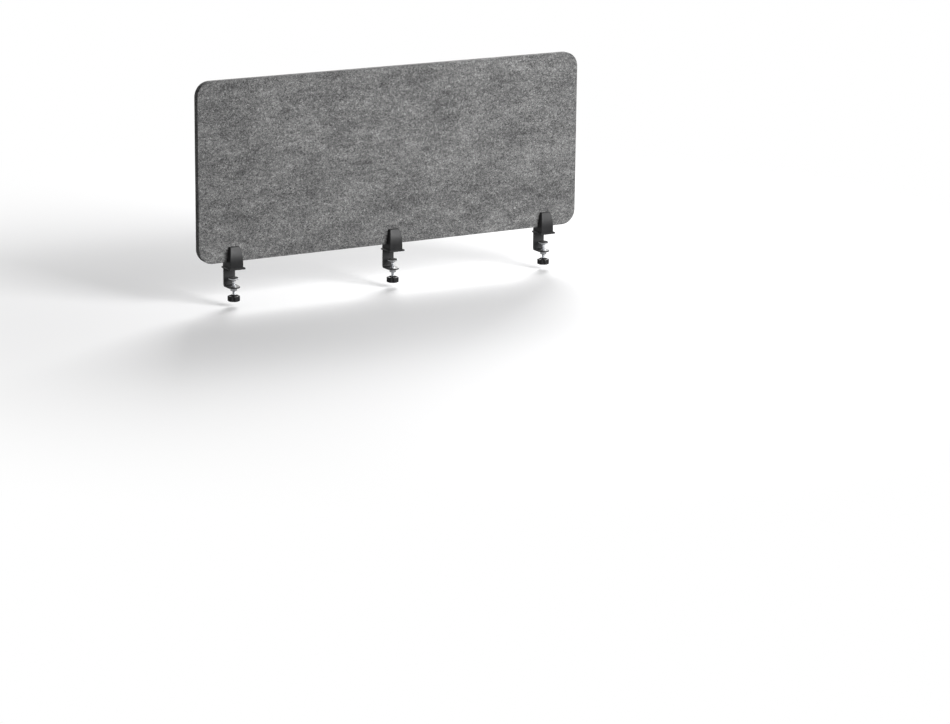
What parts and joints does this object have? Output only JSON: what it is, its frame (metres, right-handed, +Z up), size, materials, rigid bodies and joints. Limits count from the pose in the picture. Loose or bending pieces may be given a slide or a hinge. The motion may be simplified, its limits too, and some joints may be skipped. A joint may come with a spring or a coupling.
{
  "type": "desk divider screen",
  "caption": "Upright felt desk screen with rounded corners, held by desk-edge screw clamps whose moulded holders grip its lower edge.",
  "frame": {"origin": "on the desk surface under the middle clamp's pad, in the panel's middle plane and at mid length", "axes": "+X along the screen to the right as seen from the sitter's side, +Y through the screen to the rear of the desk, +Z up"},
  "size_m": [1.2, 0.0551, 0.61],
  "materials": {
    "felt": "pressed mottled felt",
    "moulded_black": "satin moulded",
    "coated_steel": "fine powder coat",
    "rubber_black": "matt",
    "zinc_steel": "bright zinc plated"
  },
  "bodies": {
    "screen": {"felt_board_front": "felt", "felt_board_rear": "felt", "holder_left": "moulded_black", "desk_pad_left": "rubber_black", "clamp_frame_left": "coated_steel", "frame_screws_left": "zinc_steel", "panel_screws_left": "zinc_steel", "thread_bush_left": "zinc_steel", "holder_middle": "moulded_black", "desk_pad_middle": "rubber_black", "clamp_frame_middle": "coated_steel", "frame_screws_middle": "zinc_steel", "panel_screws_middle": "zinc_steel", "thread_bush_middle": "zinc_steel", "holder_right": "moulded_black", "desk_pad_right": "rubber_black", "clamp_frame_right": "coated_steel", "frame_screws_right": "zinc_steel", "panel_screws_right": "zinc_steel", "thread_bush_right": "zinc_steel"},
    "disc_left": {"pressure_disc_left": "zinc_steel", "disc_pad_left": "rubber_black"},
    "spindle_left": {"spindle_left": "zinc_steel", "knob_left": "moulded_black"},
    "disc_middle": {"pressure_disc_middle": "zinc_steel", "disc_pad_middle": "rubber_black"},
    "spindle_middle": {"spindle_middle": "zinc_steel", "knob_middle": "moulded_black"},
    "disc_right": {"pressure_disc_right": "zinc_steel", "disc_pad_right": "rubber_black"},
    "spindle_right": {"spindle_right": "zinc_steel", "knob_right": "moulded_black"}
  },
  "joints": [
    {"name": "disc_left_slide", "type": "slide", "parent": "screen", "child": "disc_left", "axis": [0, 0, 1], "range_m": [-0.015, 0.01]},
    {"name": "spindle_left_turn", "type": "hinge", "parent": "disc_left", "child": "spindle_left", "pos_m": [-0.496, -0.00905, -0.06], "axis": [0, 0, 1], "range_deg": [-4320, 2880]},
    {"name": "disc_middle_slide", "type": "slide", "parent": "screen", "child": "disc_middle", "axis": [0, 0, 1], "range_m": [-0.015, 0.01]},
    {"name": "spindle_middle_turn", "type": "hinge", "parent": "disc_middle", "child": "spindle_middle", "pos_m": [0, -0.00905, -0.06], "axis": [0, 0, 1], "range_deg": [-4320, 2880]},
    {"name": "disc_right_slide", "type": "slide", "parent": "screen", "child": "disc_right", "axis": [0, 0, 1], "range_m": [-0.015, 0.01]},
    {"name": "spindle_right_turn", "type": "hinge", "parent": "disc_right", "child": "spindle_right", "pos_m": [0.496, -0.00905, -0.06], "axis": [0, 0, 1], "range_deg": [-4320, 2880]}
  ],
  "couplings": [
    {"joint": "spindle_left_turn", "follows": "disc_left_slide", "rad_per_m": 5026.5},
    {"joint": "spindle_middle_turn", "follows": "disc_middle_slide", "rad_per_m": 5026.5},
    {"joint": "spindle_right_turn", "follows": "disc_right_slide", "rad_per_m": 5026.5}
  ]
}
